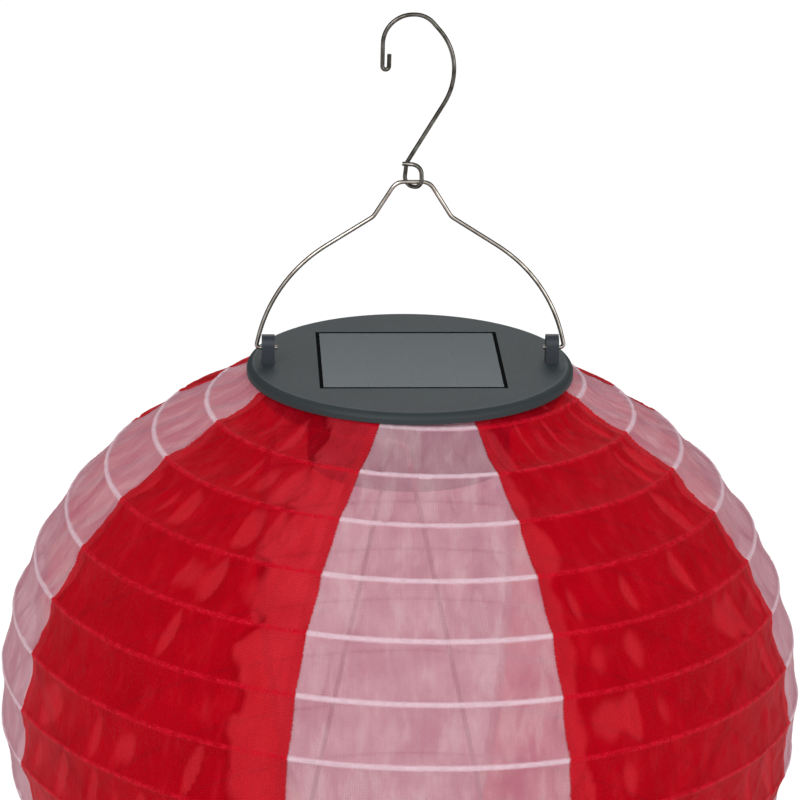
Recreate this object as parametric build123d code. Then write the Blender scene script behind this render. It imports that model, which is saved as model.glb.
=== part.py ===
from build123d import *
from math import asin, atan2, cos, degrees, pi, radians, sin, tan
import os

# Solar cloth lantern: a round shade of red and white gores over one spiral wire rib, under a
# plastic lid that holds a solar panel. A bent wire bail stands in the lid's two ears, and a wire
# hook hangs in the bail. Millimetres. It is modelled with z = 0 on the lid's flat top and the
# front towards -Y, and saved lowered so that the origin is the hook's inner crest.

# Overall sizes
HANG_HEIGHT = 131.6
SHADE_D = 300.0
SHADE_H = 254.0
NECK_D = 114.0
LID_D = 122.0

# Shade cloth and rib
SHADE_TOP_Z = -3.0
SHOULDER_SLOPE = 30.5
CLOTH_T = 0.4
WHITE_GORE_ANGLE = 39.0
GORE_PAIRS = 4
SEAM_TURN = 0.9
RIB_D = 1.0
RIB_PITCH = 22.0
RIB_START = 4.5
RIB_SIDES = 12
RIB_CLEARANCE = 0.15

# Hoop, hem and stretcher
HOOP_D = 2.0
HEM_T = 0.3
HEM_GAP = 0.05
EDGE_GAP = 0.2
STRETCHER_D = 1.8
STRETCHER_GAP = 0.3
STRETCHER_TWIST = 64.0
STRETCHER_START = -94.5
STRETCHER_DROP = 240.0

# Lid moulding
LID_FLAT_D = 117.4
LID_DEPTH = 3.9
LID_T = 2.2
RIM_T = 1.4
SPIGOT_D = 108.0
SPIGOT_T = 2.0
SPIGOT_DEPTH = 10.0

# Twist lock
COLLAR_CLEARANCE = 0.4
COLLAR_TOP_GAP = 0.4
COLLAR_DEPTH = 11.0
LUGS = 3
LUG_ANGLE = 8.0
LUG_PROUD = 1.9
LUG_TOP_Z = -6.1
LUG_T = 2.0
LUG_CLEARANCE = 0.3
LOCK_TURN = 20.0
LOCK_SPARE = 1.0

# Solar panel
PANEL_X = 66.8
PANEL_Y = 65.2
PANEL_OFFSET_Y = 2.1
PANEL_GAP = 0.4
WELL_DEPTH = 2.9
WELL_WALL = 1.5
WELL_BEVEL = 0.5
COVER_T = 0.9
COVER_SUNK = 0.05
CELL_T = 0.25
CELLS = 4
CELL_GAP = 0.5
CELL_MARGIN = 0.8
BACKING_T = 1.2
PAD_MARGIN = 3.0
LEAD_HOLE_D = 6.0
LEAD_HOLE_Y = -12.0

# Ears, bail and hook
EAR_X = 4.8
EAR_Y = 7.0
EAR_Z = 10.5
EAR_OUTER_X = 55.4
EAR_SUNK = 0.8
EAR_GAP = 0.05
PIVOT_Z = 5.5
PIVOT_GAP = 0.1
WIRE_D = 1.6
WIRE_GAP = 0.2
BAIL_LEG_GAP = 1.4
BAIL_TAIL = 1.0
EYE_BOTTOM_Z = 67.7

# Lamp housing
HOUSING_D = 76.0
HOUSING_WALL = 1.8
HOUSING_FLOOR = 2.0
HOUSING_BOTTOM_Z = -38.0
FIX_OUT = 5.0
FIX_BOSS_D = 7.0
FIX_BOSS_BOTTOM_Z = -10.0
FIX_TAB_T = 2.0
SCREW_D = 2.4
SCREW_HEAD_D = 4.4
SCREW_HEAD_T = 1.6
SCREW_CLEARANCE = 0.1
SCREW_LENGTH = 6.5

# Battery and its door
BATTERY_D = 10.5
BATTERY_L = 44.5
BATTERY_Y = 14.0
BATTERY_GAP = 0.3
CONTACT_T = 0.4
PLATE_SIDE = 8.0
SPRING_L = 2.4
SPRING_WIRE_D = 0.5
DOOR_X = 54.0
DOOR_Y = 14.0
DOOR_CENTRE_X = 1.6
DOOR_T = 1.0
DOOR_GAP = 0.2
DOOR_LEDGE = 1.2
DOOR_SCREW_INSET = 2.8
DOOR_SCREW_D = 2.0
DOOR_SCREW_L = 5.0
BAY_WALL = 1.2

# Circuit board, lamp and switch
BOARD_X = 44.0
BOARD_Y = 18.0
BOARD_T = 1.2
BOARD_CENTRE_Y = -12.5
BOARD_BOTTOM_Z = -22.0
POST_D = 5.0
POST_X = 18.5
BOARD_SCREW_D = 1.8
BOARD_SCREW_L = 5.0
LED_D = 5.0
LED_L = 8.6
LED_Y = -5.0
LED_TOP_Z = -28.0
LED_PIN = 0.5
LED_PIN_PITCH = 2.54
LENS_D = 16.0
LENS_WALL = 1.0
LENS_FLANGE_D = 19.0
LENS_FLANGE_T = 1.0
LENS_DROP = 3.0
LENS_GAP = 0.1
SWITCH_Y = -27.0
SWITCH_X = 10.0
SWITCH_W = 6.0
SWITCH_H = 5.0
KNOB_X = 3.6
KNOB_Y = 2.2
KNOB_PROUD = 1.4
KNOB_TRAVEL = 3.2
KNOB_GAP = 0.3
LEAD_D = 1.2
LEAD_SPREAD = 1.5

# Worked out from the sizes above
FIX_RADIUS = HOUSING_D / 2 + FIX_OUT
NECK_R = NECK_D / 2
SHADE_R = SHADE_D / 2
SHADE_BOTTOM_Z = SHADE_TOP_Z - SHADE_H
EQUATOR_Z = SHADE_TOP_Z - SHADE_H / 2
WELL_FLOOR_Z = -WELL_DEPTH - WELL_WALL
BAIL_TOP_Z = EYE_BOTTOM_Z + WIRE_D + WIRE_GAP
FLOOR_TOP_Z = HOUSING_BOTTOM_Z + HOUSING_FLOOR
BATTERY_Z = HOUSING_BOTTOM_Z + DOOR_T + BATTERY_GAP + BATTERY_D / 2
BAY_TOP_Z = BATTERY_Z + BATTERY_D / 2 + BATTERY_GAP + BAY_WALL
HOOP_Z = SHADE_BOTTOM_Z - EDGE_GAP - HEM_T - HEM_GAP - HOOP_D / 2

slope = radians(SHOULDER_SLOPE)
# The meridian is a straight shoulder, then one arc through the equator that it runs into
# tangentially: ARC_R = (half height - tan(slope) * (shade radius - neck radius))
#                       / (1 / cos(slope) - tan(slope)).
ARC_R = (SHADE_H / 2 - tan(slope) * (SHADE_R - NECK_R)) / (1 / cos(slope) - tan(slope))
ARC_CENTRE_R = SHADE_R - ARC_R
SHOULDER_R = ARC_CENTRE_R + ARC_R * sin(slope)
SHOULDER_L = (SHOULDER_R - NECK_R) / cos(slope)
ARC_L = ARC_R * (pi - 2 * slope)
MERIDIAN_L = 2 * SHOULDER_L + ARC_L


def save(name, shape):
    export_step(Pos(0, 0, -HANG_HEIGHT) * shape, f"parts/{name}.step")


def block(x, y, z_low, z_high, centre=(0, 0)):
    """A box x by y on the given centre, from z_low to z_high."""
    return Pos(centre[0], centre[1], (z_low + z_high) / 2) * Box(x, y, z_high - z_low)


def rod(diameter, z_low, z_high, centre=(0, 0)):
    """An upright round bar on the given centre, from z_low to z_high."""
    return Pos(centre[0], centre[1], (z_low + z_high) / 2) * Cylinder(diameter / 2, z_high - z_low)


def turned(*outline, start=0.0, angle=360.0):
    """A ring or sector turned about Z from an outline of (radius, z) points."""
    face = Plane.XZ * make_face(Polyline(*outline, close=True))
    return Rot(0, 0, start) * revolve(face, Axis.Z, angle)


def bent_wire(points, radii, diameter):
    """A round wire along straight runs that are joined by tangent arcs."""
    path = FilletPolyline(*points, radius=radii)
    section = Plane(origin=path @ 0, z_dir=path % 0) * Circle(diameter / 2)
    return sweep(section, path=path)


def round_bends(points, share=0.45):
    """The bend radii that leave a tenth of each run straight."""
    spots = [Vector(*point) for point in points]
    radii = []
    for before, corner, after in zip(spots, spots[1:], spots[2:]):
        run_in = corner - before
        run_out = after - corner
        turn = radians(run_in.get_angle(run_out))
        radii.append(share * min(run_in.length, run_out.length) / tan(turn / 2))
    return radii


def meridian(s, inset=0.0):
    """(radius, z) at length s down the cloth from its top edge, moved inwards by inset."""
    if s < SHOULDER_L:
        angle = pi / 2 - slope
        radius = NECK_R + s * cos(slope)
        z = SHADE_TOP_Z - s * sin(slope)
    elif s > MERIDIAN_L - SHOULDER_L:
        angle = slope - pi / 2
        radius = NECK_R + (MERIDIAN_L - s) * cos(slope)
        z = SHADE_BOTTOM_Z + (MERIDIAN_L - s) * sin(slope)
    else:
        angle = pi / 2 - slope - (s - SHOULDER_L) / ARC_R
        radius = ARC_CENTRE_R + ARC_R * cos(angle)
        z = EQUATOR_Z + ARC_R * sin(angle)
    return radius - inset * cos(angle), z - inset * sin(angle)


def cloth_band():
    """The cloth's section: the meridian between half a thickness in and half a thickness out."""
    half = CLOTH_T / 2
    stops = (0, SHOULDER_L, MERIDIAN_L / 2, MERIDIAN_L - SHOULDER_L, MERIDIAN_L)
    outer = [meridian(s, -half) for s in stops]
    inner = [meridian(s, half) for s in stops]
    edges = [
        Line(outer[0], outer[1]),
        ThreePointArc(outer[1], outer[2], outer[3]),
        Line(outer[3], outer[4]),
        Line(outer[4], inner[4]),
        Line(inner[4], inner[3]),
        ThreePointArc(inner[3], inner[2], inner[1]),
        Line(inner[1], inner[0]),
        Line(inner[0], outer[0]),
    ]
    return Plane.XZ * make_face(Curve() + edges)


def gores():
    """White and red gores in turn, touching at their seams; the first white one faces -Y."""
    band = cloth_band()
    red_angle = 360 / GORE_PAIRS - WHITE_GORE_ANGLE
    for i in range(GORE_PAIRS):
        start = -90 - WHITE_GORE_ANGLE / 2 + SEAM_TURN + i * 360 / GORE_PAIRS
        white = revolve(band, Axis.Z, WHITE_GORE_ANGLE)
        save(f"gore_white_{i + 1}", Rot(0, 0, start) * white)
        red = revolve(band, Axis.Z, red_angle)
        save(f"gore_red_{i + 1}", Rot(0, 0, start + WHITE_GORE_ANGLE) * red)


def spiral_rib():
    """One wire that winds down inside the cloth, a pitch along the meridian for each turn.

    Its corners stand on a polygon round the turn, so that the arcs between them touch the
    circle, and it lies inside the cloth by its own radius, a clearance and the arcs' bulge.
    """
    step = 360 / RIB_SIDES
    corner_out = 1 / cos(radians(step / 2))
    bulge = 0.0035 * SHADE_R
    inset = CLOTH_T / 2 + RIB_D / 2 + RIB_CLEARANCE + bulge
    count = int((MERIDIAN_L - 2 * RIB_START) / (RIB_PITCH / RIB_SIDES))
    points = []
    for i in range(count + 1):
        radius, z = meridian(RIB_START + i * RIB_PITCH / RIB_SIDES, inset)
        angle = radians(-90 + i * step)
        reach = radius if i in (0, count) else radius * corner_out
        points.append((reach * cos(angle), reach * sin(angle), z))
    save("spiral_rib", bent_wire(points, round_bends(points), RIB_D))


def collar():
    """The ring that carries the cloth, with slots that the lid's lugs turn into."""
    inner = SPIGOT_D / 2 + COLLAR_CLEARANCE
    outer = NECK_R - CLOTH_T
    top = -LID_T - COLLAR_TOP_GAP
    ring = turned((inner, top), (outer, top), (outer, -COLLAR_DEPTH), (inner, -COLLAR_DEPTH))
    cut_in = inner - 1
    cut_out = SPIGOT_D / 2 + LUG_PROUD + LUG_CLEARANCE
    low = LUG_TOP_Z - LUG_T - LUG_CLEARANCE
    high = LUG_TOP_Z + LUG_CLEARANCE
    opening = LUG_ANGLE + 2 * LOCK_SPARE
    for i in range(LUGS):
        start = i * 360 / LUGS - opening / 2 - LOCK_TURN
        run = turned(
            (cut_in, low), (cut_out, low), (cut_out, high), (cut_in, high),
            start=start, angle=opening + LOCK_TURN,
        )
        entry = turned(
            (cut_in, low), (cut_out, low), (cut_out, top + 1), (cut_in, top + 1),
            start=start, angle=opening,
        )
        ring = ring - run - entry
    save("collar", ring)


def lid():
    """The lid's disc with its skirt, spigot, lugs, panel well and fixing bosses."""
    flat = LID_FLAT_D / 2
    rim = LID_D / 2
    spigot = SPIGOT_D / 2
    spigot_in = spigot - SPIGOT_T
    edges = [
        Line((0, 0), (flat, 0)),
        ThreePointArc((flat, 0), (flat + 0.7 * (rim - flat), -0.4 * LID_T), (rim, -LID_T)),
        Polyline(
            (rim, -LID_T), (rim, -LID_DEPTH), (rim - RIM_T, -LID_DEPTH), (rim - RIM_T, -LID_T),
            (spigot, -LID_T), (spigot, -SPIGOT_DEPTH), (spigot_in, -SPIGOT_DEPTH),
            (spigot_in, -LID_T), (0, -LID_T), (0, 0),
        ),
    ]
    body = revolve(Plane.XZ * make_face(Curve() + edges), Axis.Z, 360)
    well_x = PANEL_X + 2 * PANEL_GAP
    well_y = PANEL_Y + 2 * PANEL_GAP
    centre = (0, PANEL_OFFSET_Y)
    body += block(well_x + 2 * WELL_WALL, well_y + 2 * WELL_WALL, WELL_FLOOR_Z, -LID_T / 2, centre)
    low = LUG_TOP_Z - LUG_T
    for i in range(LUGS):
        body += turned(
            (spigot - 0.5, low), (spigot + LUG_PROUD, low),
            (spigot + LUG_PROUD, LUG_TOP_Z), (spigot - 0.5, LUG_TOP_Z),
            start=i * 360 / LUGS - LUG_ANGLE / 2, angle=LUG_ANGLE,
        )
    for spot in fixing_spots():
        body += rod(FIX_BOSS_D, FIX_BOSS_BOTTOM_Z, -LID_T / 2, spot)
    body -= block(well_x, well_y, -WELL_DEPTH, 1, centre)
    mouth = Rectangle(well_x + 2 * WELL_BEVEL, well_y + 2 * WELL_BEVEL)
    body -= Pos(*centre, 0) * extrude(mouth, -WELL_BEVEL, taper=45)
    body -= rod(LEAD_HOLE_D, WELL_FLOOR_Z - 1, 0, (0, LEAD_HOLE_Y))
    pilot = SCREW_D + 2 * SCREW_CLEARANCE
    for spot in fixing_spots():
        body -= rod(pilot, FIX_BOSS_BOTTOM_Z - 1, FIX_BOSS_BOTTOM_Z + SCREW_LENGTH - FIX_TAB_T, spot)
    for side in (-1, 1):
        spot = (side * (EAR_OUTER_X - EAR_X / 2), 0)
        body -= block(EAR_X + 2 * EAR_GAP, EAR_Y + 2 * EAR_GAP, -EAR_SUNK, 1, spot)
    save("lid", body)


def fixing_spots():
    """Where the four housing screws go up into the lid."""
    return [
        (FIX_RADIUS * cos(radians(a)), FIX_RADIUS * sin(radians(a)))
        for a in (45, 135, 225, 315)
    ]


def ears():
    """Two blocks with a rounded top that are bonded into the lid, bored for the bail's ends."""
    for side, name in ((-1, "ear_left"), (1, "ear_right")):
        x = side * (EAR_OUTER_X - EAR_X / 2)
        round_z = EAR_Z - EAR_Y / 2
        ear = block(EAR_X, EAR_Y, -EAR_SUNK, round_z, (x, 0))
        ear += Pos(x, 0, round_z) * Rot(0, 90, 0) * Cylinder(EAR_Y / 2, EAR_X)
        ear -= Pos(x, 0, PIVOT_Z) * Rot(0, 90, 0) * Cylinder(WIRE_D / 2 + PIVOT_GAP, EAR_X + 2)
        save(name, ear)


def panel():
    """Cover, cells and backing board, on an adhesive pad in the lid's well."""
    centre = (0, PANEL_OFFSET_Y)
    cover_low = -COVER_SUNK - COVER_T
    cell_low = cover_low - CELL_T
    board_low = cell_low - BACKING_T
    save("panel_cover", block(PANEL_X, PANEL_Y, cover_low, -COVER_SUNK, centre))
    width = (PANEL_X - 2 * CELL_MARGIN - (CELLS - 1) * CELL_GAP) / CELLS
    cells = []
    for i in range(CELLS):
        x = (i - (CELLS - 1) / 2) * (width + CELL_GAP)
        cells.append(block(width, PANEL_Y - 2 * CELL_MARGIN, cell_low, cover_low, (x, PANEL_OFFSET_Y)))
    save("solar_cells", Compound(children=cells))
    save("panel_backing", block(PANEL_X, PANEL_Y, board_low, cell_low, centre))
    pad = block(PANEL_X - 2 * PAD_MARGIN, PANEL_Y - 2 * PAD_MARGIN, -WELL_DEPTH, board_low, centre)
    pad -= rod(LEAD_HOLE_D, -WELL_DEPTH - 1, 0, (0, LEAD_HOLE_Y))
    save("panel_pad", pad)


def hook():
    """The hanging hook: a small return at its tip, a round crest, a slanted shank and an eye.

    The eye's plane is turned about Z, so that the bail can pass through it along X.
    """
    crest = HANG_HEIGHT + WIRE_D / 2
    foot = EYE_BOTTOM_Z
    points = [
        (-9.3, 0, crest - 14.8), (-9.4, 0, crest - 20.5), (-11.8, 0, crest - 20.5),
        (-11.6, 0, crest), (3.9, 0, crest), (14.4, 0, crest - 12.1), (14.4, 0, crest - 27.4),
        (-2.4, 1.4, foot + 8.5), (-3.2, 2.3, foot), (3.2, -2.3, foot), (2.9, -2.0, foot + 8.7),
        (-4.0, -0.7, foot + 8.9),
    ]
    radii = [1.15, 1.15, 11.0, 9.0, 22.0, 25.0, 2.5, 3.2, 3.2, 3.6]
    save("hook", bent_wire(points, radii, WIRE_D))


def bail():
    """The bent wire handle: its ends turn inwards through the ears' holes."""
    leg_x = EAR_OUTER_X + BAIL_LEG_GAP + WIRE_D / 2
    end_x = EAR_OUTER_X - EAR_X - BAIL_TAIL
    half = [
        (6.1, BAIL_TOP_Z), (14.4, BAIL_TOP_Z - 13.3), (leg_x - 6.4, PIVOT_Z + 27.1),
        (leg_x, PIVOT_Z), (end_x, PIVOT_Z),
    ]
    points = [(-x, 0, z) for x, z in reversed(half)] + [(x, 0, z) for x, z in half]
    bends = [5.0, 5.0, 58.0, 1.3]
    save("bail", bent_wire(points, bends[::-1] + bends, WIRE_D))


def housing():
    """The cup under the lid, with tabs for its screws, a battery bay and places for the lamp."""
    outer = HOUSING_D / 2
    inner = outer - HOUSING_WALL
    cup = turned(
        (0, HOUSING_BOTTOM_Z), (outer, HOUSING_BOTTOM_Z), (outer, WELL_FLOOR_Z),
        (inner, WELL_FLOOR_Z), (inner, FLOOR_TOP_Z), (0, FLOOR_TOP_Z),
    )
    tab_top = FIX_BOSS_BOTTOM_Z
    tab_low = tab_top - FIX_TAB_T
    for a, spot in zip((45, 135, 225, 315), fixing_spots()):
        reach = FIX_RADIUS - outer + HOUSING_WALL / 2
        middle = FIX_RADIUS - reach / 2
        tab = Rot(0, 0, a) * block(reach, FIX_BOSS_D, tab_low, tab_top, (middle, 0))
        cup += tab + rod(FIX_BOSS_D, tab_low, tab_top, spot)
        cup -= rod(SCREW_D + 2 * SCREW_CLEARANCE, tab_low - 1, tab_top + 1, spot)
    door_spot = (DOOR_CENTRE_X, BATTERY_Y)
    ledge_z = HOUSING_BOTTOM_Z + DOOR_T
    bay_low, bay_high = bay_ends()
    bay_length = bay_high - bay_low
    bay_middle = (bay_low + bay_high) / 2
    bay_width = BATTERY_D + 2 * BATTERY_GAP
    wall_y = bay_width + 2 * BAY_WALL
    cup += block(bay_length + 2 * BAY_WALL, wall_y, FLOOR_TOP_Z, BAY_TOP_Z, (bay_middle, BATTERY_Y))
    pad_x = door_screw_x()
    cup += rod(DOOR_SCREW_D + 3, FLOOR_TOP_Z - 0.5, FLOOR_TOP_Z + DOOR_SCREW_L, (pad_x, BATTERY_Y))
    bay_top = BAY_TOP_Z - BAY_WALL
    cup -= block(bay_length, bay_width, HOUSING_BOTTOM_Z - 1, bay_top, (bay_middle, BATTERY_Y))
    cup -= block(DOOR_X, DOOR_Y, HOUSING_BOTTOM_Z - 1, ledge_z, door_spot)
    screw_top = ledge_z + DOOR_SCREW_L
    cup -= rod(DOOR_SCREW_D + 0.2, HOUSING_BOTTOM_Z, screw_top, (pad_x, BATTERY_Y))
    for side in (-1, 1):
        spot = (side * POST_X, BOARD_CENTRE_Y)
        cup += rod(POST_D, FLOOR_TOP_Z - 0.5, BOARD_BOTTOM_Z, spot)
        cup -= rod(BOARD_SCREW_D + 0.2, BOARD_BOTTOM_Z - BOARD_SCREW_L, BOARD_BOTTOM_Z + 1, spot)
    cup -= rod(LENS_D + 2 * LENS_GAP, HOUSING_BOTTOM_Z - 1, FLOOR_TOP_Z + 1, (0, LED_Y))
    slot_x = KNOB_X + KNOB_TRAVEL + 2 * KNOB_GAP
    cup -= block(slot_x, KNOB_Y + 2 * KNOB_GAP, HOUSING_BOTTOM_Z - 1, FLOOR_TOP_Z + 1, (0, SWITCH_Y))
    save("lamp_housing", cup)


def bay_ends():
    """The battery bay's two ends along X: spring, battery and plate contact end to end."""
    length = SPRING_L + BATTERY_L + CONTACT_T + 2 * BATTERY_GAP
    return -length / 2, length / 2


def door_screw_x():
    """Where the door's screw stands, in from the door's right end."""
    return DOOR_CENTRE_X + DOOR_X / 2 - DOOR_SCREW_INSET


def pan_screw(diameter, length, head_d, head_t):
    """A pan-head screw with its shank upwards from z = 0, its head below, and a cross recess."""
    head = Pos(0, 0, -head_t / 2) * Cylinder(head_d / 2, head_t)
    head = fillet(head.edges().sort_by(Axis.Z)[0], 0.35 * head_t)
    cross = Box(0.6 * head_d, 0.16 * head_d, head_t) + Box(0.16 * head_d, 0.6 * head_d, head_t)
    head -= Pos(0, 0, -head_t) * cross
    return head + Pos(0, 0, length / 2) * Cylinder(diameter / 2, length)


def fasteners():
    """The screws of the housing, the battery door and the circuit board."""
    tab_low = FIX_BOSS_BOTTOM_Z - FIX_TAB_T
    screw = pan_screw(SCREW_D, SCREW_LENGTH - 1, SCREW_HEAD_D, SCREW_HEAD_T)
    placed = [Pos(x, y, tab_low) * screw for x, y in fixing_spots()]
    save("housing_screws", Compound(children=placed))
    small = pan_screw(DOOR_SCREW_D, DOOR_SCREW_L, 3.4, 1.0)
    save("door_screw", Pos(door_screw_x(), BATTERY_Y, HOUSING_BOTTOM_Z) * small)
    tiny = Rot(180, 0, 0) * pan_screw(BOARD_SCREW_D, BOARD_SCREW_L, 3.2, 1.2)
    top = BOARD_BOTTOM_Z + BOARD_T
    placed = [Pos(side * POST_X, BOARD_CENTRE_Y, top) * tiny for side in (-1, 1)]
    save("board_screws", Compound(children=placed))


def battery_group():
    """The cell with its raised end, the two contacts, and the door that closes the bay."""
    low, high = bay_ends()
    start = low + BATTERY_GAP + SPRING_L
    nub = 1.0
    can_l = BATTERY_L - nub
    lay = Pos(start, BATTERY_Y, BATTERY_Z) * Rot(0, 90, 0)
    cell = Pos(0, 0, can_l / 2) * Cylinder(BATTERY_D / 2, can_l)
    cell = fillet(cell.edges(), 0.5)
    cell += Pos(0, 0, BATTERY_L - nub / 2) * Cylinder(1.9, nub)
    save("battery", lay * cell)
    plate_x = high - CONTACT_T / 2
    save("contact_plate", Pos(plate_x, BATTERY_Y, BATTERY_Z) * Box(CONTACT_T, PLATE_SIDE, PLATE_SIDE))
    sides = 8
    turns = 3
    reach = SPRING_L - SPRING_WIRE_D
    points = []
    for i in range(sides * turns + 1):
        share = i / (sides * turns)
        angle = 2 * pi * i / sides
        radius = 3.4 - 1.2 * share
        x = low + BATTERY_GAP / 2 + SPRING_WIRE_D / 2 + reach * share
        points.append((x, BATTERY_Y + radius * cos(angle), BATTERY_Z + radius * sin(angle)))
    save("contact_spring", bent_wire(points, round_bends(points), SPRING_WIRE_D))
    spot = (DOOR_CENTRE_X, BATTERY_Y)
    length = DOOR_X - 2 * DOOR_GAP
    width = DOOR_Y - 2 * DOOR_GAP
    door = block(length, width, HOUSING_BOTTOM_Z, HOUSING_BOTTOM_Z + DOOR_T, spot)
    door -= rod(DOOR_SCREW_D + 0.2, HOUSING_BOTTOM_Z - 1, FLOOR_TOP_Z, (door_screw_x(), BATTERY_Y))
    save("battery_door", door)


def lamp_group():
    """The circuit board on its posts, the LED under it, the lens, and the slide switch."""
    board_top = BOARD_BOTTOM_Z + BOARD_T
    board = block(BOARD_X, BOARD_Y, BOARD_BOTTOM_Z, board_top, (0, BOARD_CENTRE_Y))
    for side in (-1, 1):
        spot = (side * POST_X, BOARD_CENTRE_Y)
        board -= rod(BOARD_SCREW_D + 0.2, BOARD_BOTTOM_Z - 1, board_top + 1, spot)
    save("circuit_board", board)
    bulb = rod(LED_D, LED_TOP_Z - LED_L + LED_D / 2, LED_TOP_Z, (0, LED_Y))
    bulb += Pos(0, LED_Y, LED_TOP_Z - LED_L + LED_D / 2) * Sphere(LED_D / 2)
    bulb += rod(LED_D + 0.8, LED_TOP_Z - 1, LED_TOP_Z, (0, LED_Y))
    for side in (-1, 1):
        pin = (side * LED_PIN_PITCH / 2, LED_Y)
        bulb += block(LED_PIN, LED_PIN, LED_TOP_Z - 0.5, BOARD_BOTTOM_Z, pin)
    save("led", bulb)
    radius = LENS_D / 2
    bore = radius - LENS_WALL
    tip = HOUSING_BOTTOM_Z - LENS_DROP
    top = FLOOR_TOP_Z + LENS_FLANGE_T
    flange = LENS_FLANGE_D / 2
    rounding = 2.0
    outline = [
        Polyline((bore, top), (flange, top), (flange, FLOOR_TOP_Z), (radius, FLOOR_TOP_Z)),
        Line((radius, FLOOR_TOP_Z), (radius, tip + rounding)),
        RadiusArc((radius, tip + rounding), (radius - rounding, tip), rounding),
        Polyline((radius - rounding, tip), (0, tip), (0, tip + LENS_WALL)),
        Polyline((0, tip + LENS_WALL), (bore, tip + LENS_WALL), (bore, top)),
    ]
    lens = revolve(Plane.XZ * make_face(Curve() + outline), Axis.Z, 360)
    save("led_lens", Pos(0, LED_Y, 0) * lens)
    body = block(SWITCH_X, SWITCH_W, FLOOR_TOP_Z, FLOOR_TOP_Z + SWITCH_H, (0, SWITCH_Y))
    channel_x = KNOB_X + KNOB_TRAVEL + 2 * KNOB_GAP
    channel_top = FLOOR_TOP_Z + SWITCH_H / 2
    body -= block(channel_x, KNOB_Y + 2 * KNOB_GAP, FLOOR_TOP_Z - 1, channel_top, (0, SWITCH_Y))
    save("switch_body", body)
    spot = (-KNOB_TRAVEL / 2, SWITCH_Y)
    knob = block(KNOB_X, KNOB_Y, HOUSING_BOTTOM_Z - KNOB_PROUD, channel_top - KNOB_GAP, spot)
    save("switch_knob", knob)


def leads():
    """Two leads from the panel's backing, down through the lid, to the circuit board."""
    top = -COVER_SUNK - COVER_T - CELL_T - BACKING_T
    foot = BOARD_BOTTOM_Z + BOARD_T
    for side, name in ((1, "lead_red"), (-1, "lead_black")):
        x = side * LEAD_SPREAD
        points = [
            (x, LEAD_HOLE_Y, top), (x, LEAD_HOLE_Y, top - 5),
            (3 * x, LEAD_HOLE_Y - 3, (top + foot) / 2 - 1), (3 * x, LEAD_HOLE_Y - 2, foot + 4),
            (3 * x, LEAD_HOLE_Y - 2, foot),
        ]
        save(name, bent_wire(points, round_bends(points), LEAD_D))


def hoop_and_hem():
    """The wire hoop of the shade's mouth, and the hem of cloth that is sewn round it."""
    save("bottom_hoop", Pos(0, 0, HOOP_Z) * Torus(NECK_R, HOOP_D / 2))
    hem_in = HOOP_D / 2 + HEM_GAP
    hem = Torus(NECK_R, hem_in + HEM_T) - Torus(NECK_R, hem_in)
    save("bottom_hem", Pos(0, 0, HOOP_Z) * hem)


def stretcher():
    """A bent wire that holds the shade open: a half turn under the collar and two slanted legs.

    Each leg's foot stands just inside the bottom hoop, so the hoop can slide up past it.
    """
    foot_r = NECK_R - HOOP_D / 2 - HEM_GAP - HEM_T - STRETCHER_GAP - STRETCHER_D / 2
    top_z = -COLLAR_DEPTH - STRETCHER_GAP - STRETCHER_D / 2
    foot_z = top_z - STRETCHER_DROP

    def spot(angle, z, radius=foot_r):
        return (radius * cos(radians(angle)), radius * sin(radians(angle)), z)

    sides = 6
    corner_out = 1 / cos(radians(90 / sides))
    points = [spot(STRETCHER_START + STRETCHER_TWIST, foot_z), spot(STRETCHER_START, top_z)]
    for i in range(sides):
        angle = STRETCHER_START - 180 * (i + 0.5) / sides
        points.append(spot(angle, top_z, foot_r * corner_out))
    points.append(spot(STRETCHER_START - 180, top_z))
    points.append(spot(STRETCHER_START - 180 + STRETCHER_TWIST, foot_z))
    radii = [5.0] + [0.85 * foot_r] * sides + [5.0]
    save("stretcher", bent_wire(points, radii, STRETCHER_D))


os.makedirs("parts", exist_ok=True)
hook()
bail()
lid()
ears()
panel()
housing()
fasteners()
battery_group()
lamp_group()
leads()
collar()
gores()
spiral_rib()
hoop_and_hem()
stretcher()
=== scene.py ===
"""A round solar lantern: a shade of red and white nylon gores over one spiral wire rib, a plastic
lid with a solar panel, a bent wire bail and a wire hook. Metres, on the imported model's frame."""

from math import cos, pi, radians, sin, tan

import bpy
import numpy as np
from mathutils import Matrix, Vector


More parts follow.
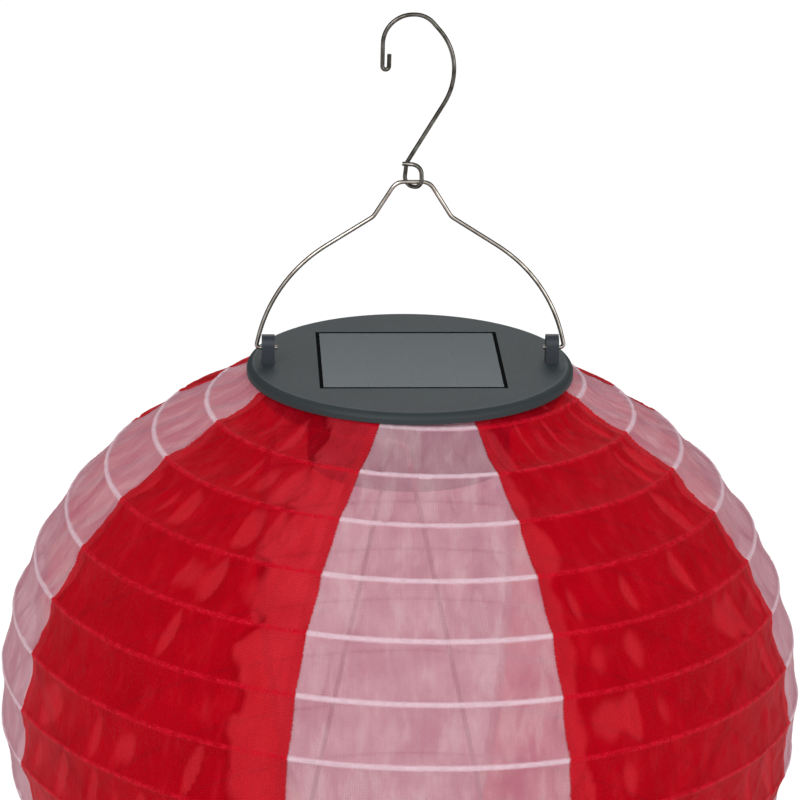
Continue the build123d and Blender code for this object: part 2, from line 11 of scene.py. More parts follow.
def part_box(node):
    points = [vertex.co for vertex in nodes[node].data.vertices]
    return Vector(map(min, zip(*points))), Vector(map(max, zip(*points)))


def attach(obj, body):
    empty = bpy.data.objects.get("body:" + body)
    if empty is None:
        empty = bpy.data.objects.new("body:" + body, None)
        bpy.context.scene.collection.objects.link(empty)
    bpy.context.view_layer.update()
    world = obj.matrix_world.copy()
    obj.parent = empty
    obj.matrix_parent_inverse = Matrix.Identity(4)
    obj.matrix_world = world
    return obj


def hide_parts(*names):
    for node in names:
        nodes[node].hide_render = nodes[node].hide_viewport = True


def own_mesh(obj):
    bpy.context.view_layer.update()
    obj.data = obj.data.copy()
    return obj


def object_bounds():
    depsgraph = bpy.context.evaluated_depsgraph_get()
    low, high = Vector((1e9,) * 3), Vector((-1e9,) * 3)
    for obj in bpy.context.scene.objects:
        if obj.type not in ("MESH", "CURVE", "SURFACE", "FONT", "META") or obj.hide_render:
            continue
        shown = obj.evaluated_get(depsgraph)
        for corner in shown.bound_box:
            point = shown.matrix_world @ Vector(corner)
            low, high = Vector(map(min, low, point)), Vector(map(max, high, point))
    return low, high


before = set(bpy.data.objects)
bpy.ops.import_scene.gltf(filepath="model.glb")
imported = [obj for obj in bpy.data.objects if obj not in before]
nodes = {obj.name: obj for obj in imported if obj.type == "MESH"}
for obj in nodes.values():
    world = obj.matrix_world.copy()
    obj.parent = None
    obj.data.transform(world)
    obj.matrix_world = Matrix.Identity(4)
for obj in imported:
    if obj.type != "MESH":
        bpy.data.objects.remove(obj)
cad_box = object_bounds()
lid_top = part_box("lid")[1][2]


# Collar: the ring under the lid that the shade's cloth is fixed to. It is moulded in black ABS, and
# it turns onto the lid's spigot, where three lugs lock it.
MOULD_FLOW = 0.0286


def linear(colour):
    """The linear colour of an sRGB hex value: ((c + 0.055) / 1.055) ** 2.4 for each channel."""
    c = np.array([int(colour[i : i + 2], 16) / 255 for i in (1, 3, 5)])
    return (*np.where(c <= 0.04045, c / 12.92, ((c + 0.055) / 1.055) ** 2.4), 1.0)


def add(tree, kind, inputs=(), **settings):
    """Adds a shader node and returns it.

    inputs pairs a socket's name or number with a value, an output, or a node, which stands for its
    first output. A MapRange takes its value in 0, and carries the range 1 to 2 onto 3 to 4.
    """
    node = tree.nodes.new("ShaderNode" + kind)
    for name, value in settings.items():
        setattr(node, name, value)
    for socket, value in dict(inputs).items():
        if isinstance(value, bpy.types.Node):
            value = value.outputs[0]
        if isinstance(value, bpy.types.NodeSocket):
            tree.links.new(value, node.inputs[socket])
        else:
            node.inputs[socket].default_value = value
    return node


def blank(name):
    """A material with an empty tree, and that tree."""
    material = bpy.data.materials.new(name)
    material.use_nodes = True
    material.node_tree.nodes.clear()
    return material, material.node_tree


def plain_plastic(name, colour, grain, depth, roughness, shine=0.4, tone_by=None):
    """Coloured plastic straight from its mould: an even skin with a spark-eroded grain.

    The eye sees a soft, broad highlight, broken up by the grain, over a colour that clouds by an
    eighth where the plastic flowed. tone_by(tree), where given, returns a further factor.
    """
    material, tree = blank(name)
    place = add(tree, "TexCoord").outputs["Object"]
    flow = add(tree, "TexNoise", {"Vector": place, "Scale": 1 / MOULD_FLOW, "Detail": 2.0})
    speck = add(tree, "TexNoise", {"Vector": place, "Scale": 1 / grain, "Detail": 3.0})
    mixed = add(tree, "Math", {0: flow, 1: speck}, operation="ADD")
    tone = add(tree, "MapRange", {0: mixed, 1: 0.6, 2: 1.4, 3: 0.88, 4: 1.12})
    base = add(tree, "VectorMath", {0: linear(colour)[:3], 3: tone}, operation="SCALE")
    if tone_by:
        base = add(tree, "VectorMath", {0: base, 3: tone_by(tree)}, operation="SCALE")
    spread = {0: speck, 1: 0.3, 2: 0.7, 3: roughness - 0.06, 4: roughness + 0.06}
    rough = add(tree, "MapRange", spread)
    bump = add(tree, "Bump", {"Height": speck, "Distance": depth, "Strength": 0.6})
    shader = add(tree, "BsdfPrincipled", {
        "Base Color": base, "Roughness": rough, "IOR": 1.52, "Specular IOR Level": shine, "Normal": bump,
    })
    add(tree, "OutputMaterial", {0: shader})
    return material


def finish_node(name, material):
    """Gives a CAD node one material on every slot."""
    mesh = nodes[name].data
    mesh.materials.clear()
    mesh.materials.append(material)


# Black ABS with a 0.7 mm grain looks dull and even, with hardly a highlight.
black_abs = plain_plastic("black_abs_satin", "#26292b", 0.0007, 0.00003, 0.5)
finish_node("collar", black_abs)


# Spiral rib: one hard-drawn steel wire, coated white, that winds down inside the cloth from the
# collar to the hoop, left-handed, a pitch along the meridian for each turn.
NECK_R = 0.057
SHADE_R = 0.150
SHADE_TOP = lid_top - 0.003
SHADE_H = 0.254
SHOULDER_SLOPE = radians(30.5)
PITCH = 0.022
RIB_START = 0.0045
RIB_R = 0.0005
RIB_GAP = 0.00035
RIB_STEPS = 96
BULGE = 0.0044
FRONT = -pi / 2

ARC_R = (SHADE_H / 2 - tan(SHOULDER_SLOPE) * (SHADE_R - NECK_R)) / (
    1 / cos(SHOULDER_SLOPE) - tan(SHOULDER_SLOPE)
)
SHOULDER_L = (SHADE_R - ARC_R + ARC_R * sin(SHOULDER_SLOPE) - NECK_R) / cos(SHOULDER_SLOPE)
MERIDIAN_L = 2 * SHOULDER_L + ARC_R * (pi - 2 * SHOULDER_SLOPE)


def meridian(s):
    """Radius, z and outward lean of the cloth at length s from its top edge.

    A straight shoulder at the slope, one arc of ARC_R through the equator, a straight shoulder.
    The lean is the angle of the outward normal above the horizontal.
    """
    steep = pi / 2 - SHOULDER_SLOPE
    lean = np.clip(steep - (s - SHOULDER_L) / ARC_R, -steep, steep)
    over = np.minimum(s, SHOULDER_L) + np.minimum(MERIDIAN_L - s, SHOULDER_L) - SHOULDER_L
    radius = np.where(
        abs(lean) < steep,
        SHADE_R - ARC_R + ARC_R * np.cos(lean),
        NECK_R + over * cos(SHOULDER_SLOPE),
    )
    drop = np.where(s < MERIDIAN_L / 2, 1.0, -1.0)
    z = np.where(
        abs(lean) < steep,
        SHADE_TOP - SHADE_H / 2 + ARC_R * np.sin(lean),
        SHADE_TOP - SHADE_H / 2 + drop * (SHADE_H / 2 - over * sin(SHOULDER_SLOPE)),
    )
    return radius, z, lean


def on_shade(s, angle, lift):
    """Points at meridian length s and azimuth angle, moved out along the normal by lift.

    The slack shade hangs BULGE further out on its left, easing off as cos(turn) * sin(pi s / L).
    """
    radius, z, lean = meridian(s)
    slack = np.clip(np.cos(angle - pi), 0, 1) * np.sin(pi * np.clip(s / MERIDIAN_L, 0, 1))
    out = radius + BULGE * slack + lift * np.cos(lean)
    return np.stack([out * np.cos(angle), out * np.sin(angle), z + lift * np.sin(lean)], axis=-1)


def surface(name, grid, material, close_u=False, close_v=False, uvs=()):
    """A mesh from a grid of points (rows, columns, 3), with its faces pointing along du x dv.

    Each of uvs is a name and a (rows, columns, 2) array of UV values, one for each grid point.
    """
    rows, columns = grid.shape[:2]
    v = np.arange(rows if close_v else rows - 1)[:, None]
    u = np.arange(columns if close_u else columns - 1)[None, :]
    v_next = (v + 1) % rows
    u_next = (u + 1) % columns
    corners = (v * columns + u, v * columns + u_next, v_next * columns + u_next, v_next * columns + u)
    quads = np.stack([np.broadcast_to(c, (v.size, u.size)) for c in corners], axis=-1).reshape(-1)
    mesh = bpy.data.meshes.new(name)
    mesh.vertices.add(rows * columns)
    mesh.vertices.foreach_set("co", grid.reshape(-1).astype(np.float32))
    mesh.loops.add(quads.size)
    mesh.loops.foreach_set("vertex_index", quads.astype(np.int32))
    mesh.polygons.add(quads.size // 4)
    mesh.polygons.foreach_set("loop_start", np.arange(0, quads.size, 4, dtype=np.int32))
    for title, values in uvs:
        layer = mesh.uv_layers.new(name=title)
        layer.data.foreach_set("uv", values.reshape(-1, 2)[quads].reshape(-1).astype(np.float32))
    mesh.update(calc_edges=True)
    mesh.shade_smooth()
    mesh.materials.append(material)
    thing = bpy.data.objects.new(name, mesh)
    bpy.context.scene.collection.objects.link(thing)
    return thing


def tube(name, path, radius, material, sides):
    """A round bar along path: rings at radius * (normal cos t + binormal sin t), ends closed."""
    along = np.gradient(path, axis=0)
    along /= np.linalg.norm(along, axis=1, keepdims=True)
    side = np.cross(along, (0.0, 0.0, 1.0))
    side /= np.linalg.norm(side, axis=1, keepdims=True)
    up = np.cross(along, side)
    t = 2 * pi * np.arange(sides) / sides
    ring = side[:, None] * np.cos(t)[None, :, None] + up[:, None] * np.sin(t)[None, :, None]
    spread = np.full(len(path), radius)
    path = np.concatenate([path[:1], path, path[-1:]])
    ring = np.concatenate([ring[:1], ring, ring[-1:]])
    spread = np.concatenate([[1e-6], spread, [1e-6]])
    grid = path[:, None] + ring * spread[:, None, None]
    return surface(name, grid, material, close_u=True)


def coated_wire(name, colour):
    """Steel wire dipped in nylon, which leaves a smooth coat.

    The eye sees it as pale and softly glossy, with patches of 11 mm where the coat is thicker.
    """
    material, tree = blank(name)
    place = add(tree, "TexCoord").outputs["Object"]
    patch = add(tree, "TexNoise", {"Vector": place, "Scale": 1 / 0.0111, "Detail": 3.0})
    tone = add(tree, "MapRange", {0: patch, 1: 0.3, 2: 0.7, 3: 0.92, 4: 1.05})
    base = add(tree, "VectorMath", {0: linear(colour)[:3], 3: tone}, operation="SCALE")
    bump = add(tree, "Bump", {"Height": patch, "Distance": 0.00004, "Strength": 0.4})
    shader = add(tree, "BsdfPrincipled", {
        "Base Color": base, "Roughness": 0.4, "IOR": 1.5, "Normal": bump,
    })
    add(tree, "OutputMaterial", {0: shader})
    return material


white_wire = coated_wire("white_coated_wire", "#e6dde0")
rib_turns = (MERIDIAN_L - 2 * RIB_START) / PITCH
turn = np.linspace(0, rib_turns, int(rib_turns * RIB_STEPS))
rib_path = on_shade(RIB_START + PITCH * turn, FRONT + 2 * pi * turn, -RIB_R - RIB_GAP)
rib = tube("spiral_wire_rib", rib_path, RIB_R, white_wire, sides=8)
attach(rib, "shade")
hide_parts("spiral_rib")
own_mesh(rib)


# Gores: eight panels of sheer nylon, four white and four red, cut as long lenses and sewn edge to
# edge. The rib stretches them, so the cloth sinks between its turns and puckers along the meridian.
WHITE_ANGLE = radians(39.6)
GORE_PAIRS = 4
RED_ANGLE = 2 * pi / GORE_PAIRS - WHITE_ANGLE
SEAM_TURN = radians(0.5)
SINK = 0.0014
PUCKER = 0.0005
CRINKLE = 0.0003
RIDGE = 0.0003
RIDGE_W = 0.0009
DENT = 0.0006
END_EASE = 0.012
SEAM_GATHER = 0.007
DENT_GATHER = 0.03
WHITE_SPARE = 0.0040
WHITE_LIFT = -0.0010
RED_SPARE = 0.0004
RED_LIFT = 0.00018
SPARE_RAMP = 0.0005
# Laps: bands by the red panels' seams, painted paler in the sheen colour for white cloth that shows
# through from behind: narrow ones over the white's spare cloth, and one wide one over the white gore
# behind.
NARROW_LAPS = (0.005, 0.004)
WIDE_SHOW_THROUGH = 0.017
LAPS = (NARROW_LAPS, NARROW_LAPS, NARROW_LAPS, (0.003, WIDE_SHOW_THROUGH))
LAP_SCALLOP = 0.004
LAP_BLUR = 0.0012
STRAYS = (radians(6.5), 0.0, 0.0, radians(-9.0))
STRAY_L = 0.042
CLOTH_STEP = 0.0009
CLOTH_ACROSS = 0.0012
WEAVE = 0.8


def value_noise(x, y, around, seed):
    """Smooth noise from -1 to 1 on a lattice of random values, repeating every `around` in x.

    Between lattice points it blends by t * t * (3 - 2 t) in x and in y.
    """
    values = np.random.default_rng(seed).uniform(-1, 1, (around, 512))
    ix, iy = np.floor(x).astype(int), np.floor(y).astype(int)
    tx, ty = x - ix, y - iy
    tx, ty = tx * tx * (3 - 2 * tx), ty * ty * (3 - 2 * ty)
    here, beside = ix % around, (ix + 1) % around
    low = values[here, iy % 512] * (1 - tx) + values[beside, iy % 512] * tx
    high = values[here, (iy + 1) % 512] * (1 - tx) + values[beside, (iy + 1) % 512] * tx
    return low * (1 - ty) + high * ty


def rib_phase(s, angle):
    """Turns of the rib above the point, and the way u from one turn to the next, 0 to 1.

    The phase is (s - RIB_START) / PITCH less the turns round from the front, and u is its fraction.
    """
    phase = (s - RIB_START) / PITCH - (angle - FRONT) / (2 * pi)
    return phase, phase - np.floor(phase)


def seam_distance(s, angle):
    """Metres along the cloth's surface to the nearest seam: radius * the angle to it."""
    turned = (angle - FRONT - SEAM_TURN + WHITE_ANGLE / 2) % (2 * pi / GORE_PAIRS)
    nearest = np.minimum(abs(turned - WHITE_ANGLE), np.minimum(turned, 2 * pi / GORE_PAIRS - turned))
    return nearest * meridian(s)[0]


def smooth(low, high, value):
    """Eases from 0 at low to 1 at high: t * t * (3 - 2 t)."""
    t = np.clip((value - low) / (high - low), 0, 1)
    return t * t * (3 - 2 * t)


def dents(s, angle):
    """Long shallow dents between two turns, 0 to 1: noise over a bar that is lowest midway.

    There are 160 cells of noise round the shade and 5.7 down a turn, each leaning along the way u,
    and the bar drops by groups, 26 of them round the shade, and towards the seams.
    """
    u = rib_phase(s, angle)[1]
    turns = angle / (2 * pi)
    row = (s / PITCH - u) * 5.7
    lean = 0.6 * value_noise(turns * 30, row, 30, 22) - 1.2 * np.cos(angle)
    height = value_noise(turns * 160 + lean * u, row + 0.3 * u, 160, 21)
    group = value_noise(turns * 26, s / 0.03, 26, 23) + np.exp(-seam_distance(s, angle) / DENT_GATHER)
    bar = 0.90 - 0.60 * (4 * u * (1 - u)) - 0.30 * group
    return smooth(bar, bar + 0.3, height)


def cloth_lift(s, angle):
    """How far the cloth stands off the smooth shade.

    With u the way from one turn to the next, it sinks by SINK * 4u(1-u), stands up RIDGE over the
    wire, and puckers and crinkles between the turns, most of all near the seams. The noise has 118
    and 290 puckers and 170 and 340 crinkles round the shade.
    """
    u = rib_phase(s, angle)[1]
    between = 4 * u * (1 - u)
    ends = np.clip(np.minimum(s, MERIDIAN_L - s) / END_EASE, 0, 1)
    to_wire = np.minimum(u, 1 - u) * PITCH
    turns = angle / (2 * pi)
    row = (s / PITCH - u) * 7.3
    fold = value_noise(turns * 118, row + u * 1.1, 118, 11)
    fine = value_noise(turns * 290, row + u * 2.3, 290, 12)
    crumple = value_noise(turns * 170 + 3 * s / 0.02, s / 0.0062, 170, 13)
    crumple = crumple + 0.5 * value_noise(turns * 340, s / 0.0031, 340, 14)
    gather = np.exp(-seam_distance(s, angle) / SEAM_GATHER)
    lift = -SINK * between * ends
    lift = lift + RIDGE * np.exp(-((to_wire / RIDGE_W) ** 2))
    lift = lift + PUCKER * ends * between**0.6 * (0.55 - 1.5 * abs(fold))
    lift = lift + PUCKER * ends * between**0.5 * (0.12 + 0.6 * gather) * fine
    lift = lift + CRINKLE * ends * (0.25 + between) * crumple
    return lift - DENT * ends * dents(s, angle)


def sheer_nylon(name, face, deep, painted_sheen, glow, wire_line, steady, gap_share, shine, pale_streaks, creases, fray):
    """Sheer nylon taffeta, woven plain from thin filaments and dyed in the piece.

    The eye sees colour that clouds from face to deep, partly uneven dye and partly painted shade of
    puckers, a painted sheen in the sheen colour on dents and laps, the glow of light that comes through,
    what stands behind by gap_share, and a thin closer line where the cloth lies on the rib, steady or
    broken, with painted glints on it. Paler streaks, creases and a frayed edge follow their shares. UV map
    Cloth holds millimetres across the gore and down it, Rib holds the rib's phase and the millimetres to
    the gore's own edge, and the third UV map holds the share of painted sheen and of painted shade in a
    fold. Scales are millimetres too. The threads are set WEAVE apart, about four times as coarse as real,
    so that they show.
    """
    material, tree = blank(name)
    cloth = add(tree, "UVMap", uv_map="Cloth").outputs[0]
    ribs = add(tree, "SeparateXYZ", {0: add(tree, "UVMap", uv_map="Rib")}).outputs
    sheen_and_crease = add(tree, "SeparateXYZ", {0: add(tree, "UVMap", uv_map="SheenAndCreaseShade")}).outputs

    # The line over the rib: full within 0.35 mm of the wire and gone at 1.45 mm. It wanders by
    # 0.12 mm, and fades to the share steady in places.
    part = add(tree, "Math", {0: ribs[0]}, operation="FRACT")
    rest = add(tree, "Math", {0: 1.0, 1: part}, operation="SUBTRACT")
    near = add(tree, "Math", {0: part, 1: rest}, operation="MINIMUM")
    apart = add(tree, "Math", {0: near, 1: PITCH * 1000}, operation="MULTIPLY")
    wander = add(tree, "TexNoise", {"Vector": cloth, "Scale": 1 / 2.86, "Detail": 3.0})
    shifted = add(tree, "MapRange", {0: wander, 1: 0.3, 2: 0.7, 3: -0.12, 4: 0.12})
    apart = add(tree, "Math", {0: apart, 1: shifted}, operation="ADD")
    line = add(tree, "MapRange", {0: apart, 1: 0.35, 2: 1.45, 3: 1.0, 4: 0.0},
               interpolation_type="SMOOTHSTEP")
    broken = add(tree, "MapRange", {0: wander, 1: 0.38, 2: 0.58, 3: steady, 4: 1.0})
    line = add(tree, "Math", {0: line, 1: broken}, operation="MULTIPLY")

    # The weave: warp and weft as two crossed waves, with slubs of about 0.9 mm.
    wave = {
        "Vector": cloth, "Scale": pi / 10 / WEAVE, "Distortion": 1.6, "Detail": 2.0, "Detail Scale": 0.6,
    }
    warp = add(tree, "TexWave", wave, bands_direction="X").outputs[1]
    weft = add(tree, "TexWave", wave, bands_direction="Y").outputs[1]
    slub = add(tree, "TexNoise", {"Vector": cloth, "Scale": 1 / 0.909, "Detail": 3.0})
    slub = add(tree, "MapRange", {0: slub, 1: 0.3, 2: 0.7, 3: 0.25, 4: 1.15})
    crossed = add(tree, "Math", {0: warp, 1: weft}, operation="MULTIPLY")
    weave = add(tree, "Math", {0: crossed, 1: slub}, operation="MULTIPLY")

    # The colour: clouds of 22 mm and streaks of 7 by 22 mm, partly uneven dye and partly painted shade of
    # puckers, with paler streaks, a painted sheen and painted shade in folds.
    stretch = add(tree, "Mapping", {0: cloth, 3: (1 / 7.14, 1 / 22.2, 1.0)})
    streak = add(tree, "TexNoise", {"Vector": stretch, "Scale": 1.0, "Detail": 4.0, "Roughness": 0.6})
    patch = add(tree, "TexNoise", {"Vector": cloth, "Scale": 1 / 22.2, "Detail": 3.0})
    blend = add(tree, "Math", {0: streak, 1: patch}, operation="ADD")
    level = add(tree, "MapRange", {0: blend, 1: 0.75, 2: 1.25, 3: 0.0, 4: 1.0})
    colour = add(tree, "Mix", {0: level, 6: linear(deep), 7: linear(face)}, data_type="RGBA").outputs[2]
    # Paler streaks: where the streak noise peaks, the colour turns towards the sheen colour.
    streaked = add(tree, "MapRange", {0: streak, 1: 0.53, 2: 0.66, 3: 0.0, 4: pale_streaks})
    colour = add(tree, "Mix", {0: streaked, 6: colour, 7: linear(painted_sheen)}, data_type="RGBA").outputs[2]
    mottle = add(tree, "MapRange", {0: weave, 1: 0.0, 2: 0.8, 3: 0.55, 4: 1.0})
    sheen = add(tree, "Math", {0: sheen_and_crease[0], 1: mottle}, operation="MULTIPLY")
    colour = add(tree, "Mix", {0: sheen, 6: colour, 7: linear(painted_sheen)}, data_type="RGBA").outputs[2]
    thread_and_crease_shade = add(tree, "MapRange", {0: weave, 1: 0.0, 2: 1.0, 3: 0.94, 4: 1.08})
    # Painted shade: the colour darkens by 0.4 of the share of painted fold shade.
    shaded = add(tree, "Math", {0: sheen_and_crease[1], 1: -0.4}, operation="MULTIPLY")
    thread_and_crease_shade = add(tree, "Math", {0: thread_and_crease_shade, 1: shaded}, operation="ADD")
    colour = add(tree, "VectorMath", {0: colour, 3: thread_and_crease_shade}, operation="SCALE")
    colour = add(tree, "Mix", {0: line, 6: colour, 7: linear(wire_line)}, data_type="RGBA").outputs[2]
    # Painted glints: where the grain peaks on the rib line, the colour turns to the sheen colour.
    grain = add(tree, "TexNoise", {"Vector": cloth, "Scale": 1 / 0.714, "Detail": 3.0, "Roughness": 0.7})
    glint_grain = add(tree, "MapRange", {0: grain, 1: 0.56, 2: 0.66, 3: 0.0, 4: 0.8})
    spark = add(tree, "Math", {0: glint_grain, 1: line}, operation="MULTIPLY")
    colour = add(tree, "Mix", {0: spark, 6: colour, 7: linear(painted_sheen)}, data_type="RGBA").outputs[2]

    # Relief: the weave on wrinkles of 3 by 8 mm.
    wrinkled = add(tree, "Mapping", {0: cloth, 3: (1 / 3.33, 1 / 8.33, 1.0)})
    wrinkle = add(tree, "TexNoise", {
        "Vector": wrinkled, "Scale": 1.0, "Detail": 5.0, "Roughness": 0.62, "Distortion": 0.8,
    })
    height = add(tree, "Math", {0: weave, 1: 0.25}, operation="MULTIPLY")
    height = add(tree, "Math", {0: height, 1: wrinkle}, operation="ADD")
    bump = add(tree, "Bump", {"Height": height, "Distance": creases, "Strength": 0.6})

    # Thread, the light through it, and the gaps between threads, which close up over the rib.
    solid = add(tree, "BsdfPrincipled", {
        "Base Color": colour, "Roughness": 0.40, "IOR": 1.5, "Specular IOR Level": shine,
        "Specular Tint": linear(painted_sheen), "Normal": bump,
    })
    lit = add(tree, "BsdfTranslucent", {0: linear(glow), "Normal": bump})
    clear = add(tree, "BsdfTransparent", {0: linear(glow)})
    body = add(tree, "MixShader", {0: 0.22, 1: solid, 2: lit})
    gaps = add(tree, "MapRange", {0: weave, 1: 0.0, 2: 1.0, 3: gap_share + 0.05, 4: gap_share - 0.05})
    shut = add(tree, "MapRange", {0: line, 1: 0.0, 2: 1.0, 3: 1.0, 4: 0.25})
    gaps = add(tree, "Math", {0: gaps, 1: shut}, operation="MULTIPLY")
    body = add(tree, "MixShader", {0: gaps, 1: body, 2: clear})
    if fray:
        combed = add(tree, "Mapping", {0: cloth, 3: (1 / 2.5, 1 / 0.3125, 1.0)})
        threads = add(tree, "TexNoise", {"Vector": combed, "Scale": 1.0, "Detail": 2.0})
        ragged = add(tree, "MapRange", {0: threads, 1: 0.35, 2: 0.65, 3: 0.0, 4: fray})
        gone = add(tree, "Math", {0: ribs[1], 1: ragged}, operation="LESS_THAN")
        body = add(tree, "MixShader", {0: gone, 1: body, 2: add(tree, "BsdfTransparent")})
    add(tree, "OutputMaterial", {0: body})
    return material


# White nylon is painted pale pink beside the red: the pink stands for light that has come through the red
# gores.
white_nylon = sheer_nylon(
    "white_sheer_nylon", face="#e6bbc6", deep="#cc91a5", painted_sheen="#ecc8d0", glow="#ecd0d6",
    wire_line="#f7dbe7", steady=0.8, gap_share=0.27, shine=0.3, pale_streaks=0.55, creases=0.0008, fray=0.0,
)
# Red nylon is deep and even, with a painted sheen on its dents, and its cut edge is frayed by up to 0.7
# mm.
red_nylon = sheer_nylon(
    "red_sheer_nylon", face="#c60020", deep="#ab0019", painted_sheen="#fb4250", glow="#f4303a",
    wire_line="#dc0e2c", steady=0.3, gap_share=0.26, shine=0.2, pale_streaks=0.10, creases=0.0016, fray=0.7,
)


def gore(name, node, start, width, strays, material, spare, lift, laps):
    """One panel: a grid down the meridian, and across from seam to seam with spare cloth beyond.

    A seam strays round the neck by stray * exp(-s / STRAY_L), and the spare cloth stands lift off the
    panel, under or over the next one. A painted sheen lies on the dents and on the laps, whose widths at
    the first and last seams are laps. The laps are painted paler for white cloth that shows through from
    behind, and the wide one, for the white gore behind, has painted shade along its edge.
    """
    rows = int(MERIDIAN_L / CLOTH_STEP)
    widest = width * SHADE_R + 2 * spare
    columns = int(widest / CLOTH_ACROSS)
    s = np.linspace(0, MERIDIAN_L, rows)[:, None]
    radius = meridian(s)[0]
    fade = np.exp(-s / STRAY_L)
    half = (width + (strays[1] - strays[0]) * fade) / 2
    reach = half + spare / radius
    share = np.linspace(-1, 1, columns)[None, :]
    angle = start + strays[0] * fade + half + share * reach
    s = np.broadcast_to(s, angle.shape)
    beyond = np.clip((abs(share) * reach - half) * radius / SPARE_RAMP, 0, 1)
    grid = on_shade(s, angle, cloth_lift(s, angle) + lift * beyond)
    across = share * reach * radius * 1000
    to_edge = (1 - abs(share)) * reach * radius * 1000
    phase, u = rib_phase(s, angle)
    ragged = 0.006 * value_noise(angle * 6, s / 0.011, 8, 31)
    ragged = ragged + 0.002 * value_noise(angle * 40, s / 0.004, 40, 32)
    uneven = 0.78 + 0.22 * value_noise(angle / (2 * pi) * 150, s / 0.007, 150, 33)
    scallop = LAP_SCALLOP * 4 * u * (1 - u) + ragged
    first = laps[0] + 0.4 * scallop - (1 + share) * reach * radius
    last = laps[1] * (1 + scallop / WIDE_SHOW_THROUGH) - (1 - share) * reach * radius
    # The laps are painted paler, unevenly, and the painted sheen lies on the dents as well.
    lap_show_through = np.maximum(0.7 * smooth(-LAP_BLUR, LAP_BLUR, first), smooth(-LAP_BLUR, LAP_BLUR, last))
    lap_show_through = uneven * lap_show_through * (laps[1] > 0)
    painted_sheen = np.maximum(dents(s, angle) * 0.7, lap_show_through)
    # Painted shade of a fold along the wide band's edge, strongest near the rib.
    crease_shade = (laps[1] == WIDE_SHOW_THROUGH) * np.exp(-(((last + 0.0015) / 0.0016) ** 2)) * (1 - 2.4 * u * (1 - u))
    uvs = (
        ("Cloth", np.stack([across, s * 1000], axis=-1)),
        ("Rib", np.stack([phase + 40, to_edge], axis=-1)),
        ("SheenAndCreaseShade", np.stack([painted_sheen, crease_shade], axis=-1)),
    )
    panel = surface(name, grid[::-1], material, uvs=[(title, values[::-1]) for title, values in uvs])
    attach(panel, "shade")
    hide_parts(node)
    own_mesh(panel)


for i in range(GORE_PAIRS):
    start = FRONT - WHITE_ANGLE / 2 + SEAM_TURN + i * 2 * pi / GORE_PAIRS
    gore(f"white_gore_{i + 1}", f"gore_white_{i + 1}", start, WHITE_ANGLE, (STRAYS[i], 0.0),
         white_nylon, WHITE_SPARE, WHITE_LIFT, (0.0, 0.0))
    gore(f"red_gore_{i + 1}", f"gore_red_{i + 1}", start + WHITE_ANGLE, RED_ANGLE,
         (0.0, STRAYS[(i + 1) % GORE_PAIRS]), red_nylon, RED_SPARE, RED_LIFT, LAPS[i])


# Stretcher: a half turn of spring-steel wire under the collar with two slanted legs, whose feet
# stand inside the bottom hoop and hold the shade open. It is bent cold and left uncoated.
def drawn_steel(name, light, dark, roughness):
    """Steel wire pulled through a die, which leaves it bright.

    The eye sees a soft mirror, in a grey that clouds from light to dark about every 4 mm.
    """
    material, tree = blank(name)
    place = add(tree, "TexCoord").outputs["Object"]
    cloud = add(tree, "TexNoise", {"Vector": place, "Scale": 1 / 0.003846, "Detail": 4.0})
    level = add(tree, "MapRange", {0: cloud, 1: 0.3, 2: 0.7, 3: 0.0, 4: 1.0})
    colour = add(tree, "Mix", {0: level, 6: linear(dark), 7: linear(light)}, data_type="RGBA").outputs[2]
    rough = add(tree, "MapRange", {0: cloud, 1: 0.3, 2: 0.7, 3: roughness + 0.08, 4: roughness - 0.04})
    shader = add(tree, "BsdfPrincipled", {"Base Color": colour, "Metallic": 1.0, "Roughness": rough})
    add(tree, "OutputMaterial", {0: shader})
    return material


bright_steel = drawn_steel("drawn_steel_wire", "#d6cec4", "#9c9288", 0.13)
finish_node("stretcher", bright_steel)


# Hoop and hem: the shade's mouth is a ring of the same coated wire, and a strip of red nylon is
# turned round it and sewn. Both slide up together as the shade folds.
HEM_AROUND = 360
HEM_ACROSS = 21
HEM_FROM = 0.72 * pi
HEM_TURN = 1.9 * pi
HEM_PINCH = 0.10
HEM_STITCHES = 120

finish_node("bottom_hoop", white_wire)
hem_low, hem_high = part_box("bottom_hem")
hem_r = (hem_high[2] - hem_low[2]) / 2
hem_z = (hem_high[2] + hem_low[2]) / 2


def hem_strip(around, tuck):
    """The strip at angle around the hoop and angle tuck round its wire.

    It is a torus, radius NECK_R + r cos(tuck) and height hem_z + r sin(tuck), whose r is hem_r less
    a pinch of HEM_PINCH * |sin(stitches * around / 2)|^6 at each stitch.
    """
    r = hem_r * (1 - HEM_PINCH * abs(np.sin(around * HEM_STITCHES / 2)) ** 6)
    out = NECK_R + r * np.cos(tuck)
    return np.stack([out * np.cos(around), out * np.sin(around), hem_z + r * np.sin(tuck)], axis=-1)


around, tuck = np.meshgrid(
    2 * pi * np.arange(HEM_AROUND) / HEM_AROUND,
    np.linspace(HEM_FROM + HEM_TURN, HEM_FROM, HEM_ACROSS),
    indexing="ij",
)
OFF_RIB = 0.5
OFF_EDGE = 9.0
hem_uvs = (
    ("Cloth", np.stack([around * NECK_R * 1000, tuck * hem_r * 1000], axis=-1)),
    ("Rib", np.stack([np.full_like(tuck, OFF_RIB), np.full_like(tuck, OFF_EDGE)], axis=-1)),
    ("SheenAndCreaseShade", np.zeros((HEM_AROUND, HEM_ACROSS, 2))),
)
hem = surface("bottom_hem_cloth", hem_strip(around, tuck), red_nylon, close_v=True, uvs=hem_uvs)
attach(hem, "hoop")
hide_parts("bottom_hem")


# Lamp housing: a cup moulded in the collar's black ABS, with a battery bay, a door over it and tabs
# for the screws that hold it up to the lid. The screws are steel with a pale zinc plating.
finish_node("lamp_housing", black_abs)
finish_node("battery_door", black_abs)
